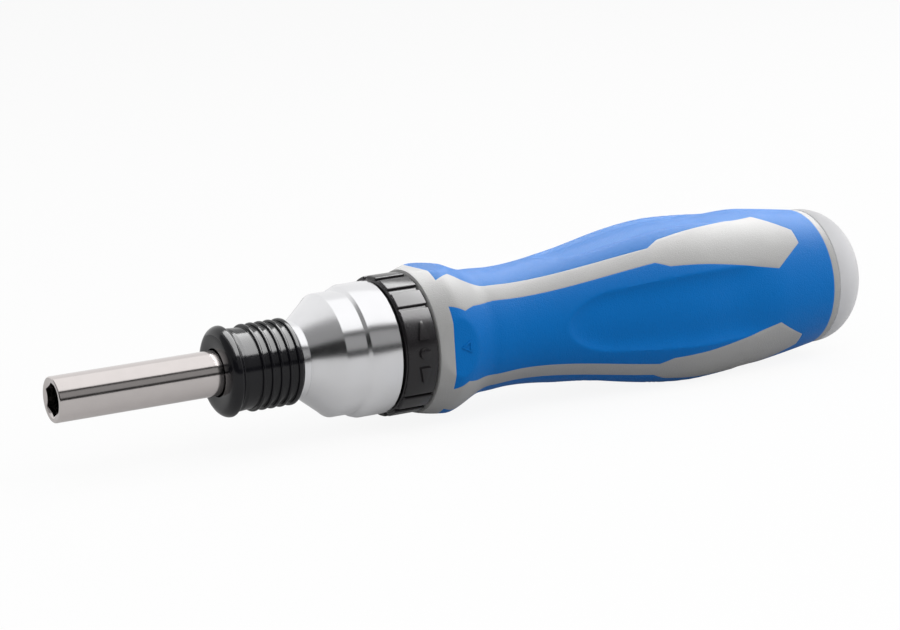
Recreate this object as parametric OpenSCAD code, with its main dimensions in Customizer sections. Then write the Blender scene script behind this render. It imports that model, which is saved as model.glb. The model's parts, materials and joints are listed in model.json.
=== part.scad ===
// Ratcheting screwdriver with a removable bit holder, a release collar,
// a three-position direction selector and a hollow two-material handle.
// X runs along the tool from the mouth of the bit socket. Z is up.
// The handle's four panels face Y, -Y, Z and -Z.

/* [Bit holder] */
// Outside diameter of the polished tube
tube_d = 9.8; // [8:0.1:12]
// Length of tube in front of the release collar
tube_len = 37; // [25:0.5:60]
// Width across flats of the bit socket
socket_af = 6.4; // [6.35:0.01:6.5]
// Depth of the bit socket
socket_depth = 15; // [10:0.5:25]
// Width across flats of the holder's rear shank
shank_af = 6.3; // [6.2:0.01:6.35]
// Length of the rear shank
shank_len = 15.6; // [12:0.1:20]
// Length the tube runs on inside the collar
tube_hidden_len = 3.4; // [3:0.1:6]

/* [Release collar] */
// Diameter over the collar's front flange
collar_d = 19.7; // [16:0.1:24]
// Diameter over the collar's finger ribs
rib_d = 18.9; // [16:0.1:24]
// Diameter of the waist behind the flange
waist_d = 17.9; // [15:0.1:22]
// Length of the collar
collar_len = 16.5; // [14:0.1:20]
// Spacing of the finger ribs
rib_pitch = 2.1; // [1.8:0.01:2.4]
// How far the collar slides to release the holder
collar_travel = 2.5; // [1.5:0.1:4]

/* [Nose housing] */
// Diameter of the neck ring behind the collar
neck_ring_d = 17; // [16.5:0.1:22]
// Wall of the front barrel
barrel_wall = 1; // [0.8:0.05:2]
// Step from the front barrel up to the rear barrel
barrel_step = 1.1; // [0.5:0.05:2]
// Length of the housing
housing_len = 21.2; // [19:0.1:24]

/* [Ratchet] */
// Number of ratchet teeth
teeth = 24; // [24:12:36]
// Diameter of the ratchet body
body_d = 22.4; // [20:0.1:26]
// Turn of a pawl between half and full engagement
pawl_turn = 8.8; // [6:0.1:10]
// Width across flats of the body's tail inside the handle
body_hex_af = 17; // [14:0.1:18]

/* [Selector] */
// Wall of the cam sleeve
cam_wall = 1.05; // [0.8:0.05:2]
// Wall of the selector ring
selector_wall = 2.65; // [1.5:0.05:4]
// Height of the finger pads over the ring
pad_rise = 0.55; // [0.2:0.05:1]
// Length of the selector ring
selector_len = 7.4; // [6.5:0.1:12]
// Turn of the selector from lock to either direction
selector_turn = 18; // [12:1:24]

/* [Handle] */
// Diameter over the front flange
flange_d = 34.3; // [28:0.1:40]
// Diameter of the neck behind the flange
neck_d = 26.84; // [22:0.1:32]
// Diameter at the belly, over the corners
belly_d = 39.3; // [32:0.1:46]
// Diameter at the rear edge of the grip
rear_d = 31.9; // [26:0.1:38]
// Distance between opposite flats of the front flange
flange_flats = 31.8; // [28:0.1:36]
// Share by which the finger hollows cut into each panel
hollow_share = 0.09; // [0.02:0.005:0.11]
// Share of the radius that the hard core fills under the soft panels
core_share = 0.85; // [0.8:0.01:0.9]
// Width of a hard rib along the neck
rib_w = 4.14; // [3:0.02:6]
// Width of a corner facet on the front flange
facet_w = 10.2; // [7:0.1:13]
// Greatest width of a hard rear patch
patch_w = 15.2; // [10:0.1:18]
// Diameter of the storage cavity
cavity_d = 20.8; // [16:0.1:24]
// Length of the soft grip and the flange in front of it
grip_len = 103.9; // [80:0.1:130]
// Distance from the handle's front to the narrowest point of the neck
neck_at = 22.7; // [18:0.1:30]
// Distance from the handle's front to the widest point of the belly
belly_at = 68.7; // [50:0.1:85]

/* [End cap] */
// Length of the domed cap behind the seam
cap_len = 12; // [8:0.1:18]
// Length of the plug inside the cavity
plug_len = 8.8; // [6:0.1:14]

/* [Fits] */
// Radial clearance of a running fit
run_gap = 0.05; // [0.01:0.01:0.1]
// Radial clearance of a pressed or glued joint as drawn
seat_gap = 0.02; // [0.01:0.01:0.05]
// Gap between moving faces along the axis
end_gap = 0.2; // [0.1:0.05:0.5]
// Chamfer on turned edges
edge = 0.4; // [0.2:0.05:0.8]

/* [Hidden] */
// Overrun of every cut
over = 1;
// Facet count of round parts and of small round parts
round_fn = 96;
small_fn = 48;
// Sides of a hexagon
hex_fn = 6;
// Sides of a wire's section
wire_fn = 6;

// One unit that scales the whole ratchet with its body
ratchet_unit = body_d / 22.4;

// Stations along the axis
collar_front = tube_len;
holder_seat = collar_front + tube_hidden_len;
shank_end = holder_seat + shank_len;
collar_end = collar_front + collar_len;
housing_front = collar_end + end_gap;
housing_end = housing_front + housing_len;
selector_gap = 0.3;
selector_front = housing_end + selector_gap;
selector_end = selector_front + selector_len;
handle_front = selector_end + 2 * end_gap;

// Bit holder
tube_r = tube_d / 2;
mouth_rise = 0.9;
mouth_d = socket_af + 2 * mouth_rise;
mouth_depth = 0.8;
magnet_d = 5.7;
magnet_len = 2.8;
ball_at = 10.2;
ball_x = holder_seat + ball_at;
ball_d = 2.9;
ball_rise = 1.57;
ball_orbit = shank_af / 2 + ball_rise;
notch_w = 3.2;
notch_depth = 0.45;
notch_d = shank_af - 2 * notch_depth;

// Spindle
chuck_wall = 3;
chuck_d = socket_af + 2 * chuck_wall;
chuck_step_at = 12;
chuck_step = holder_seat + chuck_step_at;
chuck_flange_rise = 1;
chuck_flange_d = chuck_d + 2 * chuck_flange_rise;
chuck_flange_w = 1.2;
hex_relief = 1;
hex_bore_end = shank_end + hex_relief;
washer_w = 0.5;
washer_at = 7.1;
washer_front = housing_front + washer_at;
thrust_front = washer_front + washer_w + run_gap;
thrust_rise = 2.2;
thrust_d = chuck_d + 2 * thrust_rise;
thrust_w = 1.4;
plate_front = thrust_front + thrust_w + end_gap;
plate_w = 1.4;
plate_end = plate_front + plate_w;
gear_front = plate_end + end_gap;
gear_w = 6.6;
gear_end = gear_front + gear_w;
seat_d = 8.6;
flat_cut = 0.5;
seat_flats = seat_d - 2 * flat_cut;
journal_d = 7.6;
waist_shaft_d = 9.6;
bearing_len = 1.2;
circlip_gap = 1.1;
circlip_front = handle_front + bearing_len + circlip_gap;
circlip_w = 0.9;
shaft_tail = 1.5;
spindle_end = circlip_front + circlip_w + shaft_tail;
circlip_groove_depth = 0.6;
circlip_groove_d = journal_d - 2 * circlip_groove_depth;
circlip_rise = 1.4;
circlip_d = journal_d + 2 * circlip_rise;

// Collar details
collar_hole_gap = 0.35;
collar_hole_d = tube_d + 2 * collar_hole_gap;
front_wall = 1.4;
spring_room = 2;
collar_bore_d = chuck_d + 2 * spring_room;
land_at = 9;
collar_land_front = collar_front + land_at;
land_gap = 0.1;
collar_land_end = chuck_step - land_gap;
skirt_gap = 0.4;
skirt_d = chuck_flange_d + 2 * skirt_gap;
stop_at = 0.6;
stop_front = holder_seat + stop_at;
stop_w = 0.9;
stop_groove_depth = 0.5;
stop_groove_d = chuck_d - 2 * stop_groove_depth;
stop_rise = 1.7;
stop_d = chuck_d + 2 * stop_rise;
stop_gap_deg = 40;
flange_round = 2.45;
flange_peak = 2;
flange_back = 2.5;
flange_round_steps = 5;
dip_at = 3.3;
dip_depth = 0.2;
waist_start = 3.8;
rib_count = 5;
rib_w_front = 0.65;
rib_w_last = 1.1;
rib_edge = 0.25;
rib_zone = (rib_count - 1) * rib_pitch + rib_w_last;
spring_turns = 2.5;
spring_wire = 0.8;
spring_rise = 1.15;
spring_mid_r = chuck_d / 2 + spring_rise;
spring_step_deg = 45;

// Selector cam and ring diameters
cam_bore_d = body_d + 2 * run_gap;
cam_d = cam_bore_d + 2 * cam_wall;
key_rise = 1.2;
key_d = cam_d + 2 * key_rise;
key_root = cam_bore_d / 2;
selector_base_d = cam_d + 2 * selector_wall;
selector_d = selector_base_d + 2 * pad_rise;

// Housing details
bush_wall = 1.4;
bush_d = chuck_d + 2 * bush_wall;
bush_front = housing_front + edge;
washer_rise = 1.2;
washer_d = bush_d + 2 * washer_rise;
spigot_step = 0.45 * ratchet_unit;
front_bore_d = body_d - 2 * spigot_step;
body_front = plate_front;
body_step = plate_end + land_gap;
spigot_wall = 0.6 * ratchet_unit;
spigot_bore_d = front_bore_d - 2 * spigot_wall;
plate_d = spigot_bore_d - 2 * run_gap;
housing_bore_d = cam_d + 2 * end_gap;
barrel_d = housing_bore_d + 2 * barrel_wall;
housing_d = barrel_d + 2 * barrel_step;
cone_front = 2;
cone_end = 7.8;
shoulder = 0.4;
shoulder_drop = 0.4;
cone_end_r = barrel_d / 2 - shoulder_drop;
step_start = 13.1;
step_end = 14.7;

// Ratchet body, gear and pawls
gear_tip_d = 14 * ratchet_unit;
gear_root_d = 11.2 * ratchet_unit;
pawl_pin_r = 9 * ratchet_unit;
body_end = handle_front;
body_bore_gap = 0.35;
body_bore_d = gear_tip_d + 2 * body_bore_gap;
body_hex_len = 24.9;
body_hex_end = handle_front + body_hex_len;
body_bearing_end = handle_front + bearing_len;
body_rear_bore_d = 12;
pocket_r = 10.5 * ratchet_unit;
pocket_from = -33;
pocket_to = 38;
relief_r = 9.45 * ratchet_unit;
relief_from = -72;
relief_to = 16;
pin_d = 1.6 * ratchet_unit;
pin_hold = 2.2;
pin_end = gear_end + pin_hold;
pawl_angle = 45;

// Pawl outline as distances from the axis and angles from its pin
pawl_boss_d = 2.7 * ratchet_unit;
tail_r = 10.1 * ratchet_unit;
tail_angle = -25;
tail_d = 1.2 * ratchet_unit;
tooth_angle = 30;
tooth_tip_r = 5.85 * ratchet_unit;
tooth_root_r = 7.35 * ratchet_unit;
tooth_tip_half = 0.9;
tooth_root_half = 4;
back_r = 9.3 * ratchet_unit;
back_angle = 22;
heel_r = 8.6 * ratchet_unit;
heel_angle = 36;
shoulder_r = 10.2 * ratchet_unit;
shoulder_angle = 5;
tail_top_r = 10.5 * ratchet_unit;
tail_low_r = 9.55 * ratchet_unit;
tail_low_angle = -28.3;
belly_r = 7.75 * ratchet_unit;
inner_tail_r = 8.6 * ratchet_unit;
inner_tail_angle = -14;
inner_r = 7.45 * ratchet_unit;
inner_angle = 12;
spring_tip_r = 9.86 * ratchet_unit;
spring_root_r = 10.32 * ratchet_unit;
leaf_t = 0.18 * ratchet_unit;
leaf_from = 21;
leaf_to = 41;
leaf_w = 4;
leaf_front = (gear_front + gear_end - leaf_w) / 2;

// Ratchet teeth as shares of the tooth pitch
valley_share = 0.1;
flank_share = 0.4;

// Selector cam details
cam_front = body_step + end_gap;
cam_end = selector_end;
cam_mid_r = 10.24 * ratchet_unit;
cam_rise = 0.0335 * ratchet_unit;
cam_span = 20;
cam_tail = 27;
cam_steps = 8;
key_w = 3;
key_at = 1;
key_len = 5;
detent_at = 2;
detent_x = selector_front + detent_at;
detent_w = 4;
detent_notch_d = 1.5;
detent_bump_d = 1.3;
detent_bump_drop = 0.3;
detent_bump_r = body_d / 2 - detent_bump_drop;
detent_slot_deg = 16;
detent_slot_depth = 1;
detent_slot_r = body_d / 2 - detent_slot_depth;
detent_leaf_deg = 15;
detent_leaf_r = detent_slot_r + run_gap;
detent_leaf_t = 0.35;

// Selector ring
pad_deg = 75;
lug_deg = 15.5;
lug_pitch = 21;
lug_count = 5;
selector_edge = 0.5;

// Handle stations, counted from the handle's front
flange_at = 5.2;
flange_x = handle_front + flange_at;
flange_rise = 4.8;
flange_front_rise = 0.33;
flange_front_r = selector_d / 2 + flange_front_rise;
flange_fall = 10.5;
flange_foot_rise = 0.33;
flange_foot_d = neck_d + 2 * flange_foot_rise;
neck_x = handle_front + neck_at;
belly_x = handle_front + belly_at;
grip_end = handle_front + grip_len;
rim_w = 1.7;
core_end = grip_end + rim_w;
rear_power = 1.5;
grip_front_at = 3.3;
grip_front = handle_front + grip_front_at;
facet_at = 6.9;
facet_x = handle_front + facet_at;
facet_front_w = 7;
facet_len = 7.6;
facet_end = facet_x + facet_len;
patch_front_at = 12.6;
patch_front = belly_x - patch_front_at;
patch_flare = 3.2;
patch_neck_x = patch_front + patch_flare;
patch_neck_w = 7.6;
patch_wide_at = 16;
patch_x = grip_end - patch_wide_at;
patch_end_at = 7.8;
patch_end = grip_end - patch_end_at;
patch_end_w = 3.8;
hollow_lead = 9.5;
hollow_front = neck_x + hollow_lead;
hollow_ramp = 5.5;
hollow_end_at = 15;
hollow_end = grip_end - hollow_end_at;
hollow_fade = 15;
station = 3;
flats_stop = 2;
flats_end = flange_x + flange_fall - flats_stop;
core_bore_gap = 0.1;
core_bore_end = body_hex_end + core_bore_gap;
cavity_wall = 7.7;
cavity_front = core_bore_end + cavity_wall;

// End cap
seam_gap = 0.1;
cap_front = core_end + seam_gap;
cap_inset = 0.2;
cap_r = rear_d / 2 - cap_inset;
cap_rise_extra = 0.2;
cap_rise = cap_len + cap_rise_extra;
cap_steps = 12;
plug_front = cap_front - plug_len;
plug_gap = 0.15;
seal_at = 3;
seal_x = plug_front + seal_at;
seal_d = 2;
seal_groove_w = 2.2;
seal_groove_depth = 2;

function ease(t) = let(u = min(1, max(0, t))) u * u * (3 - 2 * u);

// Corner radius of the handle at a station
function corner_r(x) =
    x < flange_x ?
        flange_front_r + (flange_d / 2 - flange_front_r) * sin(90 * min(1, (x - handle_front) / flange_rise))
    : x < flange_x + flange_fall ?
        flange_d / 2 + (flange_foot_d - flange_d) / 2 * ease((x - flange_x) / flange_fall)
    : x < neck_x ?
        flange_foot_d / 2 + (neck_d - flange_foot_d) / 2
            * ease((x - flange_x - flange_fall) / (neck_x - flange_x - flange_fall))
    : x < belly_x ?
        neck_d / 2 + (belly_d - neck_d) / 2 * ease((x - neck_x) / (belly_x - neck_x))
    : belly_d / 2 + (rear_d - belly_d) / 2 * pow(max(0, x - belly_x) / (grip_end - belly_x), rear_power);

// Distance from the axis to the bottom of a finger hollow
function hollow_r(x) = corner_r(x) * (1 - hollow_share
    * ease((x - hollow_front) / hollow_ramp)
    * ease((hollow_end - x) / hollow_fade));

module slab(start, end) {
    translate([start, 0, 0])
        rotate([90, 0, 90])
            linear_extrude(height = end - start)
                children();
}

module turned() {
    rotate([0, 90, 0])
        rotate_extrude($fn = round_fn)
            children();
}

module rod(start, end, d, count = round_fn) {
    translate([start, 0, 0])
        rotate([0, 90, 0])
            cylinder(h = end - start, d = d, $fn = count);
}

module taper(start, end, d1, d2) {
    translate([start, 0, 0])
        rotate([0, 90, 0])
            cylinder(h = end - start, d1 = d1, d2 = d2, $fn = round_fn);
}

module ring(start, end, outer_d, inner_d) {
    difference() {
        rod(start, end, outer_d);
        rod(start - over, end + over, inner_d);
    }
}

// Hexagonal bar with two corners in the horizontal plane
module hex_bar(start, end, af) {
    translate([start, 0, 0])
        rotate([0, 90, 0])
            rotate([0, 0, 90])
                cylinder(h = end - start, d = af / cos(180 / hex_fn), $fn = hex_fn);
}

// Point at a distance and an angle in the section
function polar(r, a) = [r * cos(a), r * sin(a)];

// Sector of a disc between two angles
module sector(r, from, to) {
    steps = ceil((to - from) / 30);
    reach = r / cos((to - from) / steps / 2);
    intersection() {
        circle(r = r, $fn = round_fn);
        polygon(concat([[0, 0]], [for (i = [0:steps]) polar(reach + over, from + (to - from) * i / steps)]));
    }
}

// Wire wound along the axis as one unbroken tube
module coil(start, end, mid_r, wire, turns) {
    steps = ceil(turns * 360 / spring_step_deg);
    rise = (end - start - wire) / steps;
    ring_points = [for (i = [0:steps]) for (j = [0:wire_fn - 1])
        let(a = i * spring_step_deg, b = j * 360 / wire_fn, r = mid_r + wire / 2 * cos(b))
        [start + wire / 2 + i * rise + wire / 2 * sin(b), r * cos(a), r * sin(a)]];
    sides = [for (i = [0:steps - 1]) for (j = [0:wire_fn - 1])
        let(k = (j + 1) % wire_fn)
        [i * wire_fn + j, (i + 1) * wire_fn + j, (i + 1) * wire_fn + k, i * wire_fn + k]];
    first = [for (j = [0:wire_fn - 1]) j];
    last = [for (j = [0:wire_fn - 1]) steps * wire_fn + wire_fn - 1 - j];
    polyhedron(points = ring_points, faces = concat(sides, [first, last]));
}

module bit_holder() {
    color("silver")
        difference() {
            union() {
                turned()
                    polygon([[0, 0], [tube_r - edge, 0], [tube_r, edge],
                        [tube_r, holder_seat - edge], [tube_r - edge, holder_seat], [0, holder_seat]]);
                intersection() {
                    hex_bar(holder_seat - over, shank_end, shank_af);
                    union() {
                        rod(holder_seat - over, shank_end - edge, tube_d);
                        taper(shank_end - edge, shank_end, shank_af / cos(180 / hex_fn), shank_af - edge);
                    }
                }
            }
            hex_bar(-over, socket_depth, socket_af);
            taper(-over, mouth_depth, mouth_d + over, socket_af);
            rod(socket_depth - over, socket_depth + magnet_len, magnet_d + 2 * seat_gap, small_fn);
            difference() {
                rod(ball_x - notch_w / 2, ball_x + notch_w / 2, tube_d);
                rod(ball_x - notch_w, ball_x + notch_w, notch_d, small_fn);
            }
        }
}

module bit_magnet() {
    color("dimgray")
        rod(socket_depth + end_gap, socket_depth + magnet_len, magnet_d, small_fn);
}

// Points of the flange's rounded front, from its flat face to its crest
function flange_points() = [for (i = [0:flange_round_steps]) let(a = 90 * i / flange_round_steps)
    [collar_d / 2 - flange_round * (1 - sin(a)), collar_front + flange_peak * (1 - cos(a))]];

// Points of one finger rib, up its front face and down its rear face
function rib_points(start, end) = [[waist_d / 2, start], [rib_d / 2 - rib_edge, start],
    [rib_d / 2, start + rib_edge], [rib_d / 2, end - rib_edge],
    [rib_d / 2 - rib_edge, end], [waist_d / 2, end]];

// Grip sleeve with a rounded flange, a waist and narrow finger ribs
module release_collar() {
    hole_r = collar_hole_d / 2;
    rib_front = collar_end - rib_zone;
    last = rib_count - 1;
    front_ribs = [for (i = [0:last - 1]) let(start = rib_front + i * rib_pitch)
        for (p = rib_points(start, start + rib_w_front)) p];
    color("black")
        difference() {
            turned()
                polygon(concat([[hole_r, collar_front]], flange_points(),
                    [[collar_d / 2, collar_front + flange_back],
                        [waist_d / 2 - dip_depth, collar_front + dip_at],
                        [waist_d / 2, collar_front + waist_start]],
                    front_ribs, rib_points(rib_front + last * rib_pitch, collar_end),
                    [[hole_r, collar_end]]));
            rod(collar_front + front_wall, collar_land_front, collar_bore_d);
            rod(collar_land_front - over, collar_end, chuck_d + 2 * run_gap);
            rod(collar_land_end, collar_end + over, skirt_d);
        }
}

module collar_spring() {
    color("lightgray")
        coil(stop_front + stop_w, collar_land_front, spring_mid_r, spring_wire, spring_turns);
}

// Open retaining ring in the chuck's groove
module collar_stop_ring() {
    color("gray")
        difference() {
            ring(stop_front, stop_front + stop_w, stop_d, stop_groove_d + 2 * seat_gap);
            slab(stop_front - over, stop_front + stop_w + over)
                sector(stop_d, 90 - stop_gap_deg / 2, 90 + stop_gap_deg / 2);
        }
}

module chuck_balls() {
    color("silver")
        for (side = [-1, 1])
            translate([ball_x, 0, side * ball_orbit])
                sphere(d = ball_d, $fn = small_fn);
}

module spindle() {
    color("darkgray")
        difference() {
            union() {
                rod(holder_seat, thrust_front + run_gap, chuck_d);
                rod(chuck_step, chuck_step + chuck_flange_w, chuck_flange_d);
                rod(thrust_front, thrust_front + thrust_w, thrust_d);
                rod(thrust_front + thrust_w - run_gap, gear_front, waist_shaft_d);
                intersection() {
                    rod(gear_front - over, gear_end, seat_d);
                    slab(gear_front - over, gear_end)
                        square([seat_flats, 2 * seat_d], center = true);
                }
                rod(gear_end - over, spindle_end - edge, journal_d);
                taper(spindle_end - edge, spindle_end, journal_d, journal_d - 2 * edge);
            }
            hex_bar(holder_seat - over, hex_bore_end, socket_af);
            ring(stop_front, stop_front + stop_w, 2 * chuck_d, stop_groove_d);
            ring(circlip_front, circlip_front + circlip_w, 2 * journal_d, circlip_groove_d);
            translate([ball_x, 0, 0])
                cylinder(h = 2 * chuck_d, d = ball_d + 2 * run_gap, center = true, $fn = small_fn);
        }
}

function tooth_points() = let(pitch = 360 / teeth) [for (i = [0:teeth - 1])
    for (p = [[-valley_share, gear_root_d], [valley_share, gear_root_d],
        [flank_share, gear_tip_d], [1 - flank_share, gear_tip_d]])
        polar(p[1] / 2, (i + p[0]) * pitch)];

module ratchet_gear() {
    color("slategray")
        slab(gear_front, gear_end)
            difference() {
                polygon(tooth_points());
                intersection() {
                    circle(d = seat_d + 2 * seat_gap, $fn = round_fn);
                    square([seat_flats + 2 * seat_gap, 2 * seat_d], center = true);
                }
            }
}

module spindle_circlip() {
    color("gray")
        difference() {
            ring(circlip_front, circlip_front + circlip_w, circlip_d, circlip_groove_d + 2 * seat_gap);
            slab(circlip_front - over, circlip_front + circlip_w + over)
                sector(circlip_d, 90 - stop_gap_deg / 2, 90 + stop_gap_deg / 2);
        }
}

// Two-step aluminium shell with a cone at its front
module nose_housing() {
    ring_r = neck_ring_d / 2;
    barrel_r = barrel_d / 2;
    housing_r = housing_d / 2;
    color("silver")
        difference() {
            turned()
                polygon([[0, housing_front], [ring_r - edge, housing_front],
                    [ring_r, housing_front + edge], [ring_r, housing_front + cone_front],
                    [cone_end_r, housing_front + cone_end],
                    [barrel_r, housing_front + cone_end + shoulder],
                    [barrel_r, housing_front + step_start],
                    [housing_r - edge, housing_front + step_end - 2 * edge],
                    [housing_r, housing_front + step_end],
                    [housing_r, housing_end - 2 * edge], [housing_r - edge, housing_end],
                    [0, housing_end]]);
            rod(housing_front - over, washer_front + over, bush_d);
            rod(washer_front, body_step + over, front_bore_d);
            rod(body_step, housing_end + over, housing_bore_d);
        }
}

module front_bushing() {
    color("peru")
        ring(bush_front, washer_front, bush_d - 2 * seat_gap, chuck_d + 2 * run_gap);
}

module thrust_washer() {
    color("gray")
        ring(washer_front, washer_front + washer_w, washer_d, chuck_d + 4 * run_gap);
}

module pawl_pin_rods(start, end, d) {
    rod_at(pawl_pin_r, pawl_angle, start, end, d);
    rod_at(pawl_pin_r, 180 - pawl_angle, start, end, d);
}

module pawl_cover_plate() {
    color("gray")
        difference() {
            ring(plate_front, plate_end, plate_d, waist_shaft_d + 4 * end_gap);
            pawl_pin_rods(plate_front - over, plate_end + over, pin_d + 2 * run_gap);
        }
}

module pawl_pins() {
    color("silver")
        pawl_pin_rods(plate_front, pin_end, pin_d);
}

// Outline of a pawl at full engagement, seen along the axis
module pawl_outline() {
    polygon([polar(tooth_tip_r, tooth_angle - tooth_tip_half),
        polar(tooth_tip_r, tooth_angle + tooth_tip_half),
        polar(tooth_root_r, tooth_angle + tooth_root_half),
        polar(heel_r, heel_angle), polar(back_r, back_angle),
        polar(shoulder_r, shoulder_angle), polar(tail_top_r, tail_angle),
        polar(tail_low_r, tail_low_angle),
        polar(inner_tail_r, inner_tail_angle), polar(belly_r, 0),
        polar(inner_r, inner_angle),
        polar(tooth_root_r, tooth_angle - tooth_root_half)]);
}

// Cylinder along X at a distance and an angle from the axis
module rod_at(r, a, start, end, d) {
    translate([0, r * cos(a), r * sin(a)])
        rod(start, end, d, small_fn);
}

// Rocking pawl turned back on its pin to half engagement
module pawl() {
    rotate([pawl_angle, 0, 0])
        translate([0, pawl_pin_r, 0])
            rotate([-pawl_turn, 0, 0])
                translate([0, -pawl_pin_r, 0])
                    difference() {
                        union() {
                            slab(gear_front, gear_end)
                                pawl_outline();
                            rod_at(pawl_pin_r, 0, gear_front, gear_end, pawl_boss_d);
                            rod_at(tail_r, tail_angle, gear_front, gear_end, tail_d);
                        }
                        rod_at(pawl_pin_r, 0, gear_front - over, gear_end + over, pin_d + 2 * run_gap);
                    }
}

module pawl_forward() {
    color("darkgray")
        pawl();
}

module pawl_reverse() {
    color("darkgray")
        mirror([0, 1, 0])
            pawl();
}

// Leaf spring between a pawl's back and the rib between the pockets
module leaf_outline(grow) {
    rotate([0, 0, pawl_angle])
        polygon([polar(spring_tip_r - grow, leaf_from - grow),
            polar(spring_root_r - grow, leaf_to),
            polar(spring_root_r + leaf_t + grow, leaf_to),
            polar(spring_tip_r + leaf_t + grow, leaf_from - grow)]);
}

module pawl_springs() {
    color("lightgray")
        slab(leaf_front, leaf_front + leaf_w)
            for (side = [0, 1])
                mirror([side, 0])
                    leaf_outline(0);
}

module detent_leaf() {
    rotate([0, 0, -90]) {
        difference() {
            sector(detent_leaf_r + detent_leaf_t, -detent_leaf_deg, detent_leaf_deg);
            circle(r = detent_leaf_r, $fn = round_fn);
        }
        translate([detent_bump_r, 0])
            circle(d = detent_bump_d, $fn = small_fn);
    }
}

module detent_spring() {
    color("lightgray")
        slab(detent_x, detent_x + detent_w)
            detent_leaf();
}

module ratchet_body() {
    color("gray")
        difference() {
            union() {
                rod(body_front, body_step + over, front_bore_d - 2 * seat_gap);
                rod(body_step, body_end, body_d);
                hex_bar(body_end - over, body_hex_end, body_hex_af);
            }
            rod(body_front - over, plate_end, spigot_bore_d);
            rod(plate_end - over, gear_end + end_gap, body_bore_d);
            rod(gear_end, body_bearing_end + over, journal_d + 2 * run_gap);
            rod(body_bearing_end, body_hex_end + over, body_rear_bore_d);
            slab(plate_end - over, gear_end + end_gap)
                for (side = [0, 1])
                    mirror([side, 0])
                        rotate([0, 0, pawl_angle])
                            sector(pocket_r, pocket_from, pocket_to);
            slab(body_step - over, gear_end + end_gap)
                for (side = [0, 1])
                    mirror([side, 0])
                        rotate([0, 0, pawl_angle])
                            difference() {
                                sector(body_d, relief_from, relief_to);
                                circle(r = relief_r, $fn = round_fn);
                            }
            slab(leaf_front - run_gap, leaf_front + leaf_w + run_gap)
                for (side = [0, 1])
                    mirror([side, 0])
                        leaf_outline(run_gap);
            pawl_pin_rods(gear_end, pin_end + run_gap, pin_d + 2 * seat_gap);
            slab(detent_x - run_gap, detent_x + detent_w + run_gap)
                rotate([0, 0, -90])
                    difference() {
                        sector(body_d, -detent_slot_deg, detent_slot_deg);
                        circle(r = detent_slot_r, $fn = round_fn);
                    }
        }
}

// Inward cam lobe for one pawl's tail
module cam_lobe() {
    angles = [for (i = [0:cam_steps]) -cam_span + 2 * cam_span * i / cam_steps];
    rotate([0, 0, pawl_angle + tail_angle])
        polygon(concat([polar(cam_mid_r - cam_rise * cam_span, -cam_tail)],
            [for (a = angles) polar(cam_mid_r + cam_rise * a, a)],
            [for (i = [0:cam_steps]) let(a = cam_span - (cam_span + cam_tail) * i / cam_steps)
                polar((cam_bore_d + cam_d) / 4, a)]));
}

module selector_cam() {
    color("dimgray")
        difference() {
            union() {
                ring(cam_front, cam_end, cam_d, cam_bore_d);
                slab(cam_front, gear_end)
                    for (side = [0, 1])
                        mirror([side, 0])
                            cam_lobe();
                for (side = [0, 1])
                    mirror([0, side, 0])
                        translate([selector_front + key_at, key_root, -key_w / 2])
                            cube([key_len, key_d / 2 - key_root, key_w]);
            }
            rod(gear_end + over / 2, cam_end + over, cam_bore_d);
            for (turn = [-selector_turn, 0, selector_turn])
                slab(detent_x - run_gap, detent_x + detent_w + run_gap)
                    rotate([0, 0, turn - 90])
                        translate([detent_bump_r, 0])
                            circle(d = detent_notch_d, $fn = small_fn);
        }
}

module selector_ring() {
    base_r = selector_base_d / 2;
    pad_r = selector_d / 2;
    color("black")
        difference() {
            intersection() {
                slab(selector_front, selector_end)
                    union() {
                        circle(r = base_r, $fn = round_fn);
                        for (side = [0, 1])
                            mirror([side, 0])
                                sector(pad_r, -pad_deg / 2, pad_deg / 2);
                        for (side = [-1, 1])
                            for (i = [0:lug_count - 1])
                                rotate([0, 0, side * 90 + (i - (lug_count - 1) / 2) * lug_pitch])
                                    sector(pad_r, -lug_deg / 2, lug_deg / 2);
                    }
                turned()
                    polygon([[0, selector_front], [pad_r - selector_edge, selector_front],
                        [pad_r + run_gap, selector_front + selector_edge + run_gap],
                        [pad_r + run_gap, selector_end - selector_edge - run_gap],
                        [pad_r - selector_edge, selector_end], [0, selector_end]]);
            }
            rod(selector_front - over, selector_end + over, cam_d + 2 * seat_gap);
            translate([selector_front - over, -key_d / 2 - run_gap, -key_w / 2 - run_gap])
                cube([over + key_at + key_len + run_gap, key_d + 2 * run_gap, key_w + 2 * run_gap]);
        }
}

function handle_stations(start, end, step) =
    let(count = ceil((end - start) / step)) [for (i = [0:count]) start + (end - start) * i / count];

// Whole outside of the handle between two stations, before it is split
module handle_outside(start, end) {
    flange_steps = [for (x = handle_stations(handle_front, flange_x + flange_fall, station / 2)) x];
    rest_steps = [for (x = handle_stations(flange_x + flange_fall + station, core_end, station)) x];
    steps = concat(flange_steps, rest_steps);
    intersection() {
        turned()
            polygon(concat([[0, handle_front]], [for (x = steps) [corner_r(x), x]], [[0, core_end]]));
        panel_profile();
        rotate([90, 0, 0])
            panel_profile();
        rod(start, end, 2 * belly_d);
    }
}

// Side view that cuts the flange flats and the finger hollows on two opposite panels
module panel_profile() {
    free_r = belly_d;
    hollow_steps = handle_stations(hollow_front, hollow_end, station);
    translate([0, belly_d, 0])
        rotate([90, 0, 0])
            linear_extrude(height = 2 * belly_d)
                difference() {
                    translate([handle_front - over, -free_r])
                        square([core_end - handle_front + 2 * over, 2 * free_r]);
                    for (side = [0, 1])
                        mirror([0, side]) {
                            translate([handle_front - 2 * over, flange_flats / 2])
                                square([flats_end - handle_front + over, free_r]);
                            polygon(concat([for (x = hollow_steps) [x, hollow_r(x)]],
                                [[hollow_end, free_r + over], [hollow_front, free_r + over]]));
                        }
                }
}

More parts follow.
